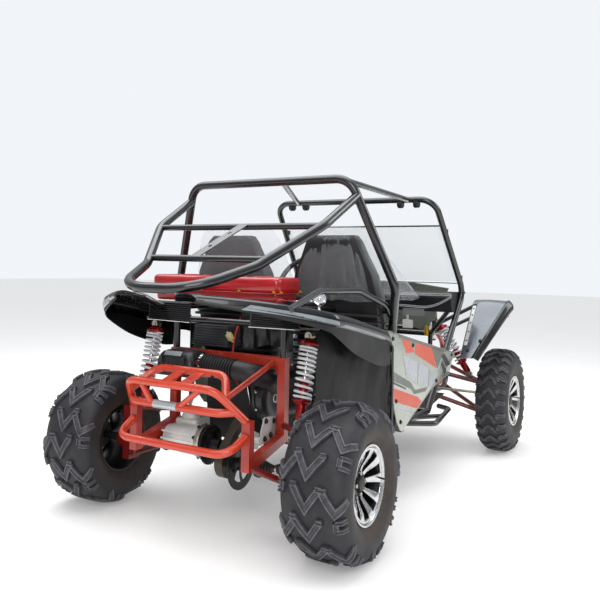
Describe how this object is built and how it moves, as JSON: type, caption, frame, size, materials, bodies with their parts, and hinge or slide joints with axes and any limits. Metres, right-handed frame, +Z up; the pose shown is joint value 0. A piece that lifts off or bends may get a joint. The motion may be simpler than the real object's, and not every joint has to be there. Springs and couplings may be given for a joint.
{
  "type": "dune buggy",
  "caption": "Open off-road buggy with tube cage, two seats, rear engine, knobbly tyres, coil-over suspension and working steering.",
  "frame": {"origin": "on the floor under the middle of the overall size", "axes": "+X forward along the length, +Y to the left, +Z up"},
  "size_m": [2.765, 1.47, 1.421],
  "materials": {
    "frame_black": "gloss",
    "bumper_orange": "gloss",
    "subframe_red": "gloss",
    "arm_red": "gloss",
    "black_plastic": "matte",
    "panel_silver": "gloss",
    "fender_grey": "gloss",
    "screen": "clear",
    "seat_cover": "grained",
    "tank_red": "gloss",
    "engine_grey": "cast",
    "drive_alloy": "cast",
    "guard_brown": "satin",
    "disc_steel": "brushed",
    "hose_rubber": "matte",
    "spring_white": "gloss",
    "wheel_grip": "matte",
    "lamp_chrome": "polished",
    "cast_grey": "cast",
    "tyre": "matte",
    "rim_alloy": "machined"
  },
  "bodies": {
    "chassis": {"main_hoop": "frame_black", "front_hoop": "frame_black", "roof_bars": "frame_black", "rear_cage": "frame_black", "deck_frame": "frame_black", "floor_frame": "frame_black", "side_steps": "frame_black", "front_bumper": "bumper_orange", "rear_bumper": "bumper_orange", "engine_subframe": "subframe_red", "front_arms": "arm_red", "rear_arms": "arm_red", "floor_pan": "black_plastic", "side_panels": "panel_silver", "rear_fenders": "fender_grey", "front_fenders": "fender_grey", "nose_panel": "panel_silver", "dash": "black_plastic", "windscreen": "screen", "seat_left": "seat_cover", "seat_right": "seat_cover", "seat_rails": "frame_black", "fuel_tank": "tank_red", "engine_block": "engine_grey", "engine_cover": "black_plastic", "final_drive": "drive_alloy", "chain_guard": "guard_brown", "brake_disc": "disc_steel", "air_box": "black_plastic", "intake_hose": "hose_rubber", "front_shocks": "spring_white", "rear_shocks": "spring_white", "steering_column": "frame_black", "pedals": "disc_steel", "headlamps": "lamp_chrome"},
    "steering_wheel": {"steering_wheel": "wheel_grip"},
    "rack": {"steering_rack_bar": "disc_steel"},
    "knuckle_left": {"knuckle_left": "cast_grey"},
    "knuckle_right": {"knuckle_right": "cast_grey"},
    "half_shaft_left": {"half_shaft_left": "disc_steel"},
    "half_shaft_right": {"half_shaft_right": "disc_steel"},
    "wheel_front_left": {"tyre_front_left": "tyre", "rim_front_left": "rim_alloy"},
    "wheel_front_right": {"tyre_front_right": "tyre", "rim_front_right": "rim_alloy"},
    "wheel_rear_left": {"tyre_rear_left": "tyre", "rim_rear_left": "rim_alloy"},
    "wheel_rear_right": {"tyre_rear_right": "tyre", "rim_rear_right": "rim_alloy"}
  },
  "joints": [
    {"name": "steering", "type": "hinge", "parent": "chassis", "child": "steering_wheel", "pos_m": [0.3045, 0.268, 0.93], "axis": [-0.8894, 0, 0.4571], "range_deg": [-160, 160]},
    {"name": "rack_slide", "type": "slide", "parent": "chassis", "child": "rack", "axis": [0, 1, 0], "range_m": [-0.0526, 0.0526]},
    {"name": "kingpin_left", "type": "hinge", "parent": "chassis", "child": "knuckle_left", "pos_m": [1.0045, 0.548, 0.288], "axis": [0, 0, 1], "range_deg": [-28.05, 28.05]},
    {"name": "front_wheel_spin_left", "type": "hinge", "parent": "knuckle_left", "child": "wheel_front_left", "pos_m": [1.0045, 0.643, 0.288], "axis": [0, 1, 0], "continuous": true},
    {"name": "rear_wheel_spin_left", "type": "hinge", "parent": "chassis", "child": "wheel_rear_left", "pos_m": [-0.9785, 0.566, 0.277], "axis": [0, 1, 0], "continuous": true},
    {"name": "half_shaft_spin_left", "type": "hinge", "parent": "chassis", "child": "half_shaft_left", "pos_m": [-0.9785, 0.205, 0.3], "axis": [0, 0.9906, -0.1368], "continuous": true},
    {"name": "kingpin_right", "type": "hinge", "parent": "chassis", "child": "knuckle_right", "pos_m": [1.0045, -0.548, 0.288], "axis": [0, 0, 1], "range_deg": [-28.05, 28.05]},
    {"name": "front_wheel_spin_right", "type": "hinge", "parent": "knuckle_right", "child": "wheel_front_right", "pos_m": [1.0045, -0.643, 0.288], "axis": [0, 1, 0], "continuous": true},
    {"name": "rear_wheel_spin_right", "type": "hinge", "parent": "chassis", "child": "wheel_rear_right", "pos_m": [-0.9785, -0.566, 0.277], "axis": [0, 1, 0], "continuous": true},
    {"name": "half_shaft_spin_right", "type": "hinge", "parent": "chassis", "child": "half_shaft_right", "pos_m": [-0.9785, -0.2, 0.262], "axis": [0, 0.9962, -0.0871], "continuous": true}
  ],
  "couplings": [
    {"joint": "rack_slide", "follows": "steering", "m_per_rad": -0.0188},
    {"joint": "kingpin_left", "follows": "steering", "ratio": 0.175},
    {"joint": "kingpin_right", "follows": "steering", "ratio": 0.175},
    {"joint": "half_shaft_spin_left", "follows": "rear_wheel_spin_left", "ratio": 1},
    {"joint": "half_shaft_spin_right", "follows": "rear_wheel_spin_right", "ratio": 1}
  ]
}
